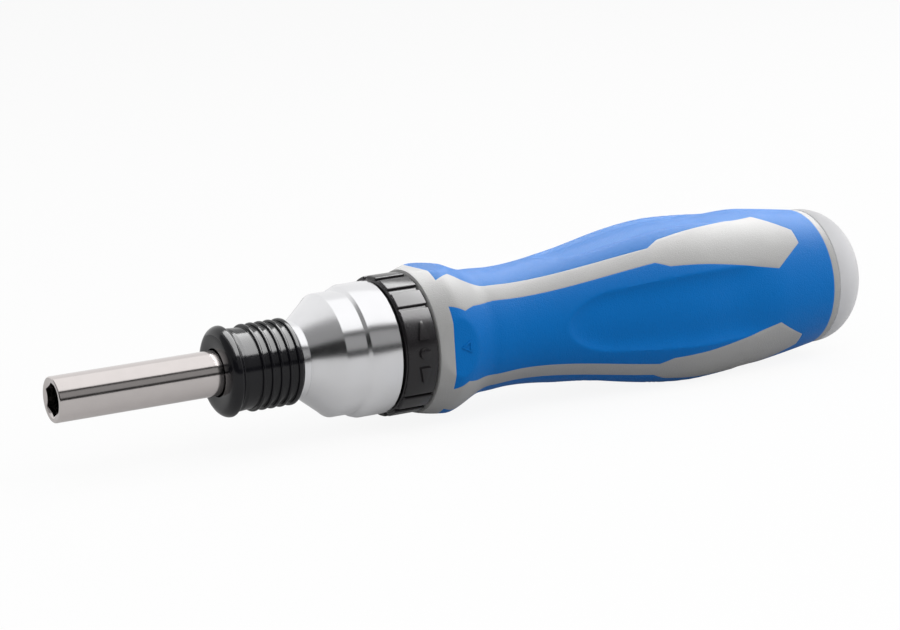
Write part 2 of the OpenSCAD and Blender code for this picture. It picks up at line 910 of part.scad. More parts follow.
// Outline of one hard rib, from its flange facet to its rear patch
module rib_outline() {
    stops = [[handle_front - over, facet_front_w], [grip_front, facet_front_w], [facet_x, facet_w],
        [facet_end, rib_w], [patch_front, rib_w], [patch_neck_x, patch_neck_w],
        [patch_x, patch_w], [patch_end, patch_end_w]];
    last = len(stops) - 1;
    polygon(concat([for (i = [0:last]) [stops[i][0], stops[i][1] / 2]],
        [for (i = [0:last]) [stops[last - i][0], -stops[last - i][1] / 2]]));
}

module ribs() {
    for (turn = [0:90:270])
        rotate([turn + 45, 0, 0])
            linear_extrude(height = belly_d)
                rib_outline();
}

// Round hard core under the soft panels
module core_inside(start, end) {
    steps = handle_stations(grip_front, grip_end, 2 * station);
    intersection() {
        turned()
            polygon(concat([[0, grip_front - over], [core_share * corner_r(grip_front), grip_front - over]],
                [for (x = steps) [core_share * corner_r(x), x]],
                [[core_share * corner_r(grip_end), grip_end + over], [0, grip_end + over]]));
        rod(start, end, 2 * belly_d);
    }
}

module handle_core() {
    color("gray")
        difference() {
            union() {
                handle_outside(handle_front, grip_front);
                core_inside(grip_front - over / 2, grip_end + over / 2);
                intersection() {
                    handle_outside(handle_front, patch_end + over);
                    ribs();
                }
                handle_outside(grip_end, core_end);
            }
            hex_bar(handle_front - over, core_bore_end, body_hex_af + 2 * seat_gap);
            rod(cavity_front, core_end + over, cavity_d);
        }
}

module grip() {
    color("steelblue")
        difference() {
            handle_outside(grip_front, grip_end);
            core_inside(grip_front - over, grip_end + over);
            ribs();
        }
}

module cap_seal() {
    color("black")
        turned()
            translate([cavity_d / 2 - seat_gap - seal_d / 2, seal_x])
                circle(d = seal_d, $fn = small_fn);
}

// Domed cap on a plug that closes the storage cavity
module end_cap() {
    plug_d = cavity_d - 2 * plug_gap;
    color("darkgray")
        difference() {
            union() {
                rod(plug_front, cap_front + over, plug_d);
                turned()
                    polygon(concat([[0, cap_front], [cap_r - edge / 2, cap_front]],
                        [for (i = [0:cap_steps]) let(share = i / cap_steps)
                            [cap_r * sqrt(1 - pow(share * cap_len / cap_rise, 2)),
                                cap_front + edge / 2 + share * (cap_len - edge / 2)]],
                        [[0, cap_front + cap_len]]));
            }
            ring(seal_x - seal_groove_w / 2, seal_x + seal_groove_w / 2, 2 * cavity_d,
                cavity_d - 2 * seal_groove_depth - 2 * seat_gap);
        }
}

bit_holder();
bit_magnet();
release_collar();
collar_spring();
collar_stop_ring();
chuck_balls();
spindle();
ratchet_gear();
spindle_circlip();
nose_housing();
front_bushing();
thrust_washer();
pawl_cover_plate();
pawl_forward();
pawl_reverse();
pawl_pins();
pawl_springs();
ratchet_body();
selector_cam();
selector_ring();
detent_spring();
handle_core();
grip();
cap_seal();
end_cap();
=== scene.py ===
import json
import math

import bpy
from bpy.props import FloatProperty, FloatVectorProperty, IntProperty, PointerProperty
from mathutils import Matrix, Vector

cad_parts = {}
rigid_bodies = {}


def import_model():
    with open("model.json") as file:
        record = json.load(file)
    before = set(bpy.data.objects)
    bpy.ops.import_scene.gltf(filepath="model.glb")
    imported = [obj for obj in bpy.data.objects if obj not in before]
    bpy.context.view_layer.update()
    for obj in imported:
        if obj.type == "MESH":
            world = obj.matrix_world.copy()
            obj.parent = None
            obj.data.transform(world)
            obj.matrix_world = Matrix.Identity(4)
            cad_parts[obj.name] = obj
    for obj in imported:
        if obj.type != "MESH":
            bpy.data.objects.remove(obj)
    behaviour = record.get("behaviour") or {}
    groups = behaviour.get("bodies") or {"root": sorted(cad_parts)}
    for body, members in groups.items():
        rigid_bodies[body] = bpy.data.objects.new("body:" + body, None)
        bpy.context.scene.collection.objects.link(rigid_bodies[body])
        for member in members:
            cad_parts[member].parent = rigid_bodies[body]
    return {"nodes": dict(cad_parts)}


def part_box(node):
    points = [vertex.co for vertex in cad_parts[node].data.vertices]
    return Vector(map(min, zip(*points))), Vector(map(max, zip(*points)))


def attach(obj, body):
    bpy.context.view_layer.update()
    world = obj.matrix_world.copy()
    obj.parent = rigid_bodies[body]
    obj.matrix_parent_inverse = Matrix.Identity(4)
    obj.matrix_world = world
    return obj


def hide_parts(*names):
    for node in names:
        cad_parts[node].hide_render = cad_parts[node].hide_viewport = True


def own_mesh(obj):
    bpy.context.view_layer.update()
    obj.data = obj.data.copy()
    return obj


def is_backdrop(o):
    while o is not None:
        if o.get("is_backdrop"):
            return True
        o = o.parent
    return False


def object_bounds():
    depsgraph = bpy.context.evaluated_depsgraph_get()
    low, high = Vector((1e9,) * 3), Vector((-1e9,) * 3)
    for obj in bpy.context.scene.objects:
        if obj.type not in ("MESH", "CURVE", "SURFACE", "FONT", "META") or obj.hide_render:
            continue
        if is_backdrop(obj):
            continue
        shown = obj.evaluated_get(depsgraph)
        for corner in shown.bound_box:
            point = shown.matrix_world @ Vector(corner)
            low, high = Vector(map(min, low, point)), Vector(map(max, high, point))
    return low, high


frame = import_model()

bl_info = {
    "name": "Ratcheting screwdriver dress",
    "version": (1, 0, 0),
    "blender": (4, 5, 0),
    "location": "3D View > Sidebar > Screwdriver",
    "description": "Dresses the packed ratcheting screwdriver and sets its studio",
    "category": "Object",
}

MM = 0.001
FRONT, REAR = 0, 1
QUARTER = math.pi / 2
WELD = 0.002 * MM  # points closer than this become one
NEAR = 0.05 * MM  # a point this close to a station lies on it
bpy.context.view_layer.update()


def end_x(node, side):
    """Station of a CAD node's front or rear end along the tool."""
    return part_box(node)[side].x


def widest(node):
    """Largest radius of a CAD node about the tool's axis, from its box."""
    low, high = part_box(node)
    return max(high.y, high.z, -low.y, -low.z)


def length(name, text, millimetres):
    return FloatProperty(name=name, description=text, default=millimetres * MM,
                         unit="LENGTH", precision=5)


def share(name, text, default):
    return FloatProperty(name=name, description=text, default=default, min=0, max=1,
                         subtype="FACTOR")


def turn(name, text, degrees):
    return FloatProperty(name=name, description=text, default=math.radians(degrees),
                         subtype="ANGLE")


def count(name, text, default, low, high):
    return IntProperty(name=name, description=text, default=default, min=low, max=high)


def colour(name, text, default):
    return FloatVectorProperty(name=name, description=text, default=default,
                               subtype="COLOR", min=0, max=1)


class FrontSizes(bpy.types.PropertyGroup):
    """Sizes of the bit holder, the collar and the housing."""
    sides: count("Sides", "Sides of a turned body", 160, 24, 256)
    socket_af: length("Socket", "Width across flats of the bit socket", 6.4)
    socket_depth: length("Socket depth", "Depth of the bit socket", 15)
    mouth_r: length("Mouth", "Radius of the countersink at the socket's mouth", 4.15)
    rim_round: length("Rim rounding", "Rounding of the tube's front rim", 0.35)
    hole_gap: length("Hole gap", "Gap between the tube and the collar", 0.35)
    flange_round: length("Flange rounding", "Depth of the flange's rounded front", 2.45)
    flange_peak: length("Flange crest", "Distance from the collar's face to its crest", 2)
    dip_at: length("Dip", "Distance from the collar's face to the dip behind its flange", 3.3)
    dip_r: length("Dip radius", "Radius at the bottom of that dip", 8.72)
    waist_at: length("Waist", "Distance from the collar's face to its waist", 3.9)
    waist_r: length("Waist radius", "Radius of the waist", 8.95)
    rib_floor: length("Rib floor", "Radius of the floor between the finger ribs", 8.72)
    rib_r: length("Rib radius", "Radius over the finger ribs", 9.45)
    rib_pitch: length("Rib spacing", "Spacing of the finger ribs", 2.1)
    rib_w: length("Rib width", "Width of a finger rib", 0.72)
    last_rib_w: length("Last rib", "Width of the rib at the collar's rear", 1.1)
    neck_r: length("Neck", "Radius of the housing's neck ring", 8.5)
    neck_len: length("Neck length", "Length of the neck ring", 2)
    cone_len: length("Cone end", "Distance from the neck's face to the front barrel", 7.8)
    barrel_r: length("Barrel", "Radius of the front barrel", 13.5)
    step_at: length("Step", "Distance from the neck's face to the step", 13.1)
    step_len: length("Step length", "Length of the step's slope", 1.6)
    edge: length("Edge", "Rounding of the housing's turned edges", 0.18)


class SelectorSizes(bpy.types.PropertyGroup):
    """Sizes of the selector ring."""
    pad_rise: length("Pad height", "Height of the finger pads over the ring", 0.55)
    pad_arc: turn("Pad", "Arc of a finger pad", 75)
    lug_arc: turn("Lug", "Arc of a lug", 15.5)
    lug_pitch: turn("Lug spacing", "Spacing of the lugs", 21)
    lug_count: count("Lugs", "Lugs between two pads", 5, 1, 7)
    bore_r: length("Bore", "Radius of the ring's bore", 12.32)
    mark_rise: length("Mark height", "Height of the raised marks over a pad", 0.6)
    mark_w: length("Mark width", "Width of a direction mark along the tool", 2.5)
    mark_len: length("Mark length", "Length of a direction mark round the ring", 4.86)
    mark_out: length("Mark place", "Distance of a mark's middle from the dot", 4.74)
    dot_r: length("Dot", "Radius of the dot between the marks", 1.25)


class HandleSizes(bpy.types.PropertyGroup):
    """Sizes of the two-material handle."""
    rows: count("Rows", "Rings of faces along the handle", 176, 40, 400)
    columns: count("Columns", "Faces across one soft panel", 58, 16, 160)
    rib_columns: count("Rib columns", "Faces across one hard rib", 12, 4, 40)
    front_r: length("Front", "Radius at the handle's front edge", 15.83)
    flange_r: length("Flange", "Radius at the flange's crest", 17.15)
    flange_x: length("Crest", "Station of the flange's crest", 88.2)
    rise: length("Rise", "Length of the slope in front of the crest", 4.8)
    fall: length("Fall", "Length of the slope behind the crest", 10.5)
    foot_r: length("Foot", "Radius at the foot of that slope", 13.75)
    neck_r: length("Neck", "Radius at the neck", 13.42)
    neck_x: length("Neck station", "Station of the neck", 105.7)
    belly_r: length("Belly", "Radius at the belly", 19.65)
    belly_x: length("Belly station", "Station of the belly", 151.7)
    rear_r: length("Rear", "Radius at the grip's rear edge", 15.95)
    flat_r: length("Flats", "Distance from the axis to the flange's flats", 15.9)
    hollow_share: share("Hollow depth", "Depth of a finger hollow as a share of the radius",
                        0.095)
    hollow_arc: turn("Hollow", "Half of the arc that a finger hollow spans", 25)
    hollow_front: length("Hollow front", "Station of the hollow's front end", 116.2)
    hollow_round: length("Hollow end", "Length of the hollow's rounded front", 11.5)
    hollow_rear: length("Hollow rear", "Station where the hollow has faded out", 173)
    hollow_fade: length("Hollow fade", "Length over which the hollow fades", 17)
    panel_depth: length("Panel depth", "Thickness of a soft panel", 2)
    seam: length("Seam", "Rounding of the edges along the seams", 0.12)
    bore_r: length("Bore", "Radius of the storage cavity", 10.4)
    pointer_x: length("Pointer", "Station of the small pointer's middle", 89.6)
    pointer_r: length("Pointer size", "Distance from the pointer's middle to its tip", 1.6)
    pointer_rise: length("Pointer height", "Height of the pointer over the facet", 0.2)


class Colours(bpy.types.PropertyGroup):
    """Colours of the finishes."""
    steel: colour("Steel", "Polished bit holder", (0.645, 0.602, 0.590))
    inner_steel: colour("Inner steel", "Ground parts of the ratchet", (0.42, 0.42, 0.42))
    aluminium: colour("Aluminium", "Turned housing", (0.80, 0.80, 0.815))
    black_aluminium: colour("Black aluminium", "Anodised collar", (0.006, 0.006, 0.008))
    black_plastic: colour("Black plastic", "Selector ring", (0.0125, 0.011, 0.0125))
    grey: colour("Grey plastic", "Hard core and ribs", (0.365, 0.363, 0.359))
    blue: colour("Blue grip", "Soft panels", (0.0, 0.150, 0.50))
    cap: colour("Cap", "Slightly cloudy end cap", (0.58, 0.58, 0.595))
    bronze: colour("Bronze", "Plain bearing", (0.45, 0.27, 0.12))
    rubber: colour("Rubber", "Seal ring", (0.02, 0.02, 0.02))
    floor: colour("Floor", "Studio floor", (0.96, 0.96, 0.96))


class Link:
    """A shader socket that takes part in Python sums: each sum adds its Math node."""

    def __init__(self, nodes, socket):
        self.nodes = nodes
        self.socket = socket

    def math(self, operation, other):
        return self.nodes.add("ShaderNodeMath", {"operation": operation}, {0: self, 1: other})

    def __add__(self, other):
        return self.math("ADD", other)

    def __mul__(self, other):
        return self.math("MULTIPLY", other)

    __radd__ = __add__
    __rmul__ = __mul__


class Nodes:
    """The node tree of a material or of the world."""

    def __init__(self, tree):
        self.tree = tree

    def add(self, kind, settings, sockets, output=0):
        """Adds a node, sets it, fills its sockets with values or links, returns one output."""
        node = self.tree.nodes.new(kind)
        for key, value in settings.items():
            setattr(node, key, value)
        for key, value in sockets.items():
            self.fill(node.inputs[key], value)
        return Link(self, node.outputs[output])

    def fill(self, socket, value):
        """Links a socket or sets it. A colour is given without its alpha."""
        if isinstance(value, Link):
            self.tree.links.new(value.socket, socket)
        elif socket.type == "RGBA":
            socket.default_value = (*value, 1)
        else:
            socket.default_value = value

    def seen(self, in_mirrors):
        """1 for rays from the camera or through glass, and a share of it in mirrors."""
        camera, mirror, glass = [self.add("ShaderNodeLightPath", {}, {}, f"Is {ray} Ray")
                                 for ray in ("Camera", "Glossy", "Transmission")]
        return camera.math("MAXIMUM", mirror * in_mirrors).math("MAXIMUM", glass)

    def glow(self, strength):
        """A shader that only shines, in white."""
        return self.add("ShaderNodeEmission", {}, {"Color": (1, 1, 1), "Strength": strength})


class Finish(Nodes):
    """A procedural material round one Principled shader."""

    def __init__(self, name, **constants):
        self.material = bpy.data.materials.new(name)
        self.material.use_nodes = True
        super().__init__(self.material.node_tree)
        self.shader = self.tree.nodes["Principled BSDF"]
        for socket, value in constants.items():
            self.shader.inputs[socket.replace("_", " ")].default_value = value

    def noise(self, size, detail, stretch=(1, 1, 1)):
        """Noise from 0 to 1 on object coordinates whose blobs have a size in metres."""
        spot = self.add("ShaderNodeTexCoord", {}, {}, "Object")
        place = self.add("ShaderNodeMapping", {}, {"Vector": spot, "Scale": stretch})
        sockets = {"Vector": place, "Scale": 1 / size, "Detail": detail}
        return self.add("ShaderNodeTexNoise", {}, sockets)

    def lines(self, size, detail, squeeze):
        """Noise drawn out round the tool's axis into turning lines."""
        return self.noise(size, detail, (1, squeeze, squeeze))

    def mix(self, factor, first, second):
        """A colour between two, which are sockets 6 and 7 of a Mix node."""
        sockets = {0: factor, 6: first, 7: second}
        return self.add("ShaderNodeMix", {"data_type": "RGBA"}, sockets, 2)

    def tint(self, value):
        self.fill(self.shader.inputs["Base Color"], value)

    def rough(self, value):
        self.fill(self.shader.inputs["Roughness"], value)

    def bump(self, height, depth):
        """Turns a height from 0 to 1 into relief of a depth in metres."""
        normal = self.add("ShaderNodeBump", {},
                          {"Height": height, "Distance": depth, "Strength": 1.0})
        self.fill(self.shader.inputs["Normal"], normal)

    def surface(self, shader):
        """Shows another shader in place of the Principled one."""
        self.fill(self.tree.nodes["Material Output"].inputs["Surface"], shader)


def darker(tint, share_left):
    return tuple(part * share_left for part in tint)


def metal(name, tint, blot, detail, shade, roughness, spread, **constants):
    """A metal whose tone and gloss vary in soft blots. Its caller adds the relief."""
    finish = Finish(name, **constants)
    cloud = finish.noise(blot, detail)
    finish.tint(finish.mix(cloud, tint, darker(tint, shade)))
    finish.rough(cloud * spread + roughness)
    return finish


def polished_steel(tint):
    finish = metal("polished_steel", tint, blot=3 * MM, detail=2, shade=0.93,
                   roughness=0.12, spread=0.05, Metallic=1.0)
    finish.bump(finish.lines(0.05 * MM, 1, squeeze=0.04), 0.0004 * MM)
    return finish


def ground_metal(name, tint):
    finish = metal(name, tint, blot=1.5 * MM, detail=3, shade=0.8,
                   roughness=0.28, spread=0.15, Metallic=1.0)
    finish.bump(finish.noise(0.06 * MM, 1), 0.002 * MM)
    return finish


def black_aluminium(tint):
    finish = metal("black_aluminium", tint, blot=2.5 * MM, detail=3, shade=0.85,
                   roughness=0.13, spread=0.05, Specular_IOR_Level=0.34)
    finish.bump(finish.lines(0.06 * MM, 1, squeeze=0.05), 0.0010 * MM)
    return finish


def satin_aluminium(tint):
    finish = metal("satin_aluminium", tint, blot=4 * MM, detail=2, shade=0.95,
                   roughness=0.175, spread=0.05, Metallic=1.0)
    lines = finish.lines(0.09 * MM, 2, squeeze=0.03)
    speck = finish.noise(0.3 * MM, 1)
    finish.bump(lines * 0.4 + speck * 0.6, 0.010 * MM)
    return finish


def moulded(name, tint, roughness, grain, depth, **constants):
    """Moulded plastic or rubber with a fine spark-eroded grain whose specks are darker."""
    finish = Finish(name, **constants)
    cloud = finish.noise(6 * MM, 3)
    speck = finish.noise(grain, 2)
    # The colour darkens in the grain's fine specks.
    dark_specks = speck * 0.22
    shade = finish.mix(cloud, tint, darker(tint, 0.94))
    finish.tint(finish.mix(dark_specks, shade, darker(tint, 0.65)))
    finish.rough(cloud * 0.08 + roughness)
    finish.bump(speck, depth)
    return finish


def make_finishes(tints):
    """One finish for each material slot of the record."""
    grain = 0.3 * MM
    cloudy = {"Subsurface_Weight": 0.25, "Subsurface_Radius": (0.002, 0.002, 0.002),
              "Subsurface_Scale": 1.0}
    finishes = [
        polished_steel(tints.steel),
        ground_metal("steel", tints.inner_steel),
        ground_metal("bronze", tints.bronze),
        black_aluminium(tints.black_aluminium),
        satin_aluminium(tints.aluminium),
        moulded("black_plastic", tints.black_plastic, roughness=0.2, grain=grain,
                depth=0.006 * MM, Specular_IOR_Level=0.4),
        moulded("grey_plastic", tints.grey, roughness=0.48, grain=grain,
                depth=0.07 * MM, Specular_IOR_Level=0.38),
        moulded("cap_plastic", tints.cap, roughness=0.3, grain=grain,
                depth=0.003 * MM, **cloudy),
        moulded("blue_grip", tints.blue, roughness=0.42, grain=grain,
                depth=0.09 * MM, Specular_IOR_Level=0.11),
        moulded("black_rubber", tints.rubber, roughness=0.5, grain=0.1 * MM,
                depth=0.01 * MM),
    ]
    return {finish.material.name: finish.material for finish in finishes}


def smooth(t):
    """Eases from 0 to 1, level at both ends."""
    u = min(1.0, max(0.0, t))
    return u * u * (3 - 2 * u)


def soft_min(a, b, blend):
    """The smaller of two lengths, blended where they meet."""
    return (a + b - math.hypot(a - b, blend)) / 2


def rounded_edge(x, r, along, across, first=0, steps=5):
    """Points over a rounded edge, from the face at station x up to the crest at radius r."""
    angles = [math.radians(first + (90 - first) * i / steps) for i in range(steps + 1)]
    return [(x + along * (1 - math.cos(a)), r - across * (1 - math.sin(a))) for a in angles]


def deselect():
    """Leaves edit mode and selects nothing."""
    if bpy.context.object and bpy.context.object.mode == "EDIT":
        bpy.ops.object.mode_set(mode="OBJECT")
    bpy.ops.object.select_all(action="DESELECT")


def active(obj):
    """Selects one object alone."""
    deselect()
    obj.select_set(True)
    bpy.context.view_layer.objects.active = obj


def copy_of(obj, name):
    """A copy with its own mesh."""
    piece = obj.copy()
    piece.data = obj.data.copy()
    piece.name = name
    bpy.context.scene.collection.objects.link(piece)
    return piece


def join(pieces):
    """Joins pieces into the first of them."""
    active(pieces[0])
    for piece in pieces:
        piece.select_set(True)
    bpy.ops.object.join()
    return pieces[0]


def weld():
    """Merges points that meet, turns the faces outwards and ends edit mode."""
    bpy.ops.mesh.select_all(action="SELECT")
    bpy.ops.mesh.remove_doubles(threshold=WELD)
    bpy.ops.mesh.normals_make_consistent(inside=False)
    bpy.ops.object.mode_set(mode="OBJECT")


def bevel(obj, width, degrees=24, segments=3):
    """Rounds the edges that turn by more than an angle."""
    active(obj)
    rounding = obj.modifiers.new("Rounding", "BEVEL")
    rounding.width = width
    rounding.segments = segments
    rounding.limit_method = "ANGLE"
    rounding.angle_limit = math.radians(degrees)
    rounding.use_clamp_overlap = True
    bpy.ops.object.modifier_apply(modifier=rounding.name)


def cut(obj, tool, operation="DIFFERENCE"):
    """Cuts one solid with another, or unites or intersects the two. The other is removed."""
    active(obj)
    change = obj.modifiers.new("Cut", "BOOLEAN")
    change.operation = operation
    change.solver = "EXACT"
    change.object = tool
    bpy.ops.object.modifier_apply(modifier=change.name)
    bpy.data.objects.remove(tool)


def turned(name, points, sides, edge=0):
    """A body of revolution about X: one point drawn along a profile of (x, r), then spun."""
    deselect()
    bpy.ops.mesh.primitive_plane_add(size=MM, location=(*points[0], 0))
    obj = bpy.context.object
    obj.name = name
    bpy.ops.object.transform_apply(location=True)
    bpy.context.tool_settings.mesh_select_mode = (True, False, False)
    bpy.ops.object.mode_set(mode="EDIT")
    bpy.ops.mesh.select_all(action="SELECT")
    bpy.ops.mesh.merge(type="CENTER")
    for before, after in zip(points, points[1:]):
        step = (after[0] - before[0], after[1] - before[1], 0)
        bpy.ops.mesh.extrude_vertices_move(TRANSFORM_OT_translate={"value": step})
    bpy.ops.mesh.select_all(action="SELECT")
    bpy.ops.mesh.spin(steps=sides, angle=math.tau, center=(0, 0, 0), axis=(1, 0, 0))
    weld()
    if edge:
        bevel(obj, edge)
    return obj


def finish_piece(obj, material, body, *nodes, degrees):
    """Gives a piece its finish and shading and seats it on its body for its CAD nodes."""
    active(obj)
    obj.data.materials.clear()
    obj.data.materials.append(bpy.data.materials[material])
    bpy.ops.object.shade_smooth_by_angle(angle=math.radians(degrees))
    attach(obj, body)
    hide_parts(*nodes)
    deselect()


class DRESS_OT_finishes(bpy.types.Operator):
    """Makes the finishes and gives the inner CAD nodes theirs"""
    bl_idname = "dress.finishes"
    bl_label = "Finishes"

    def execute(self, context):
        for plain in list(bpy.data.materials):
            bpy.data.materials.remove(plain)
        made = make_finishes(context.scene.dress_colours)
        given = {
            "front_bushing": "bronze",
            "cap_seal": "black_rubber",
            "selector_cam": "black_plastic",
        }
        for name, obj in frame["nodes"].items():
            obj.data.materials.clear()
            obj.data.materials.append(made[given.get(name, "steel")])
        return {"FINISHED"}


class DRESS_OT_bit_holder(bpy.types.Operator):
    """Makes the polished tube with its hexagonal socket and hexagonal shank"""
    bl_idname = "dress.bit_holder"
    bl_label = "Bit holder"

    def execute(self, context):
        sizes = context.scene.dress_front
        r = widest("bit_holder")
        seat = end_x("spindle", FRONT)
        rim = sizes.rim_round
        profile = [(0, 0), *rounded_edge(0, r, rim, rim), (seat - rim, r), (seat, r - rim),
                   (seat, 0)]
        body = turned("bit_holder_tube", profile, sizes.sides)
        shank_af = 6.3 * MM
        shank = self.hexagon(seat - MM, end_x("bit_holder", REAR), shank_af, "shank")
        bevel(shank, 0.3 * MM)
        cut(body, shank, "UNION")
        cut(body, self.hexagon(-MM, sizes.socket_depth, sizes.socket_af, "socket"))
        cut(body, self.countersink(sizes))
        pocket_r = 2.87 * MM
        pocket_front = sizes.socket_depth - MM
        pocket_rear = end_x("bit_magnet", REAR)
        profile = [(pocket_front, 0), (pocket_front, pocket_r), (pocket_rear, pocket_r),
                   (pocket_rear, 0)]
        cut(body, turned("pocket", profile, sides=64))
        finish_piece(body, "polished_steel", "holder", "bit_holder", degrees=25)
        return {"FINISHED"}

    def hexagon(self, start, end, across, name):
        """A hexagonal bar along X with corners in the horizontal plane."""
        deselect()
        bpy.ops.mesh.primitive_cylinder_add(
            vertices=6, radius=across / math.sqrt(3), depth=end - start,
            location=((start + end) / 2, 0, 0), rotation=(0, QUARTER, 0))
        bar = bpy.context.object
        bar.name = name
        bpy.ops.transform.rotate(value=QUARTER, orient_axis="X", center_override=(0, 0, 0))
        bpy.ops.object.transform_apply(location=True, rotation=True)
        return bar

    def countersink(self, sizes):
        """A flat cone that passes the tube's face at the countersink's radius."""
        deselect()
        base = 2 * sizes.mouth_r
        steepness = 0.42
        bpy.ops.mesh.primitive_cone_add(
            vertices=sizes.sides, radius1=base, radius2=0, depth=base,
            location=(0, 0, 0), rotation=(0, QUARTER, 0))
        cone = bpy.context.object
        bpy.ops.transform.resize(value=(steepness, 1, 1), center_override=(0, 0, 0))
        bpy.ops.object.transform_apply(location=True, rotation=True, scale=True)
        return cone


class DRESS_OT_collar(bpy.types.Operator):
    """Makes the black release collar with its rounded flange, waist and finger ribs"""
    bl_idname = "dress.collar"
    bl_label = "Release collar"

    def execute(self, context):
        sizes = context.scene.dress_front
        front = end_x("release_collar", FRONT)
        rear = end_x("release_collar", REAR)
        crest = widest("release_collar")
        hole = widest("bit_holder") + sizes.hole_gap
        profile = [(front, hole), (front, crest - sizes.flange_round)]
        profile += rounded_edge(front, crest, sizes.flange_peak, sizes.flange_round,
                                first=12, steps=14)
        profile += self.fall(front + sizes.flange_peak, crest,
                             front + sizes.dip_at, sizes.dip_r)
        profile += [(front + sizes.waist_at, sizes.waist_r)]
        profile += self.ribs(sizes, rear)
        skirt, skirt_r = rear - 1.2 * MM, 7.6 * MM
        land, land_r = front + 9 * MM, 6.25 * MM
        room, room_r = front + 1.4 * MM, 8.2 * MM
        profile += [(rear, skirt_r), (skirt, skirt_r), (skirt, land_r), (land, land_r),
                    (land, room_r), (room, room_r), (room, hole), (front, hole)]
        body = turned("release_collar_sleeve", profile, sizes.sides, edge=0.08 * MM)
        finish_piece(body, "black_aluminium", "collar", "release_collar", degrees=40)
        return {"FINISHED"}

    def fall(self, x0, r0, x1, r1, steps=6):
        """Points of a smooth fall from the crest to the dip behind it."""
        return [(x0 + (x1 - x0) * i / steps, r0 + (r1 - r0) * smooth(i / steps))
                for i in range(1, steps + 1)]

    def ribs(self, sizes, rear, ribs=5):
        """Points over the finger ribs, the last of which ends at the collar's rear."""
        points = []
        zone = rear - sizes.last_rib_w - (ribs - 1) * sizes.rib_pitch
        for i in range(ribs):
            last = i == ribs - 1
            start = zone + i * sizes.rib_pitch
            stop = rear if last else start + sizes.rib_w
            radius = min((stop - start) / 2, 0.4 * MM)
            points.append((start, sizes.rib_floor))
            points += rounded_edge(start, sizes.rib_r, radius, radius, steps=6)
            points += reversed(rounded_edge(stop, sizes.rib_r, -radius, radius, steps=6))
            if not last:
                points.append((stop, sizes.rib_floor))
        return points


class DRESS_OT_spring(bpy.types.Operator):
    """Makes a coil of the collar's return spring, copied from its CAD node and fixed to the
    spindle
    """
    bl_idname = "dress.spring"
    bl_label = "Return spring"

    def execute(self, context):
        coil = copy_of(frame["nodes"]["collar_spring"], "return_spring_coil")
        active(coil)
        bpy.ops.object.mode_set(mode="EDIT")
        bpy.ops.mesh.select_all(action="SELECT")
        bpy.ops.mesh.remove_doubles(threshold=WELD)
        bpy.ops.object.mode_set(mode="OBJECT")
        finish_piece(coil, "steel", "spindle", "collar_spring", degrees=60)
        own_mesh(coil)
        return {"FINISHED"}


class DRESS_OT_housing(bpy.types.Operator):
    """Makes the turned aluminium housing with its neck ring, cone and two barrels"""
    bl_idname = "dress.housing"
    bl_label = "Nose housing"

    def execute(self, context):
        sizes = context.scene.dress_front
        front = end_x("nose_housing", FRONT)
        rear = end_x("nose_housing", REAR)
        neck = front + sizes.neck_len
        cone = front + sizes.cone_len
        step = front + sizes.step_at
        big = widest("nose_housing")
        edge = 0.4 * MM
        groove, groove_depth = 0.15 * MM, 0.1 * MM
        shoulder = step + 0.4 * sizes.step_len
        chamfer, chamfer_depth = 0.5 * MM, 0.45 * MM
        bush_r, room_r, seat_r = 7.6 * MM, 10.75 * MM, 12.5 * MM
        washer = end_x("thrust_washer", FRONT)
        seat = end_x("pawl_cover_plate", REAR)
        profile = [
            (front, bush_r), (front, sizes.neck_r - edge), (front + edge, sizes.neck_r),
            (neck - groove, sizes.neck_r), (neck, sizes.neck_r - groove_depth),
            (neck + groove, sizes.neck_r + groove_depth),
            (cone, sizes.barrel_r - edge), (cone + edge, sizes.barrel_r),
            (step, sizes.barrel_r), (shoulder, big - 0.33 * MM), (step + sizes.step_len, big),
            (rear - chamfer, big), (rear, big - chamfer_depth),
            (rear, seat_r), (seat, seat_r), (seat, room_r), (washer, room_r),
            (washer, bush_r), (front, bush_r)]
        body = turned("nose_housing_shell", profile, sizes.sides, sizes.edge)
        finish_piece(body, "satin_aluminium", "handle", "nose_housing", degrees=40)
        return {"FINISHED"}


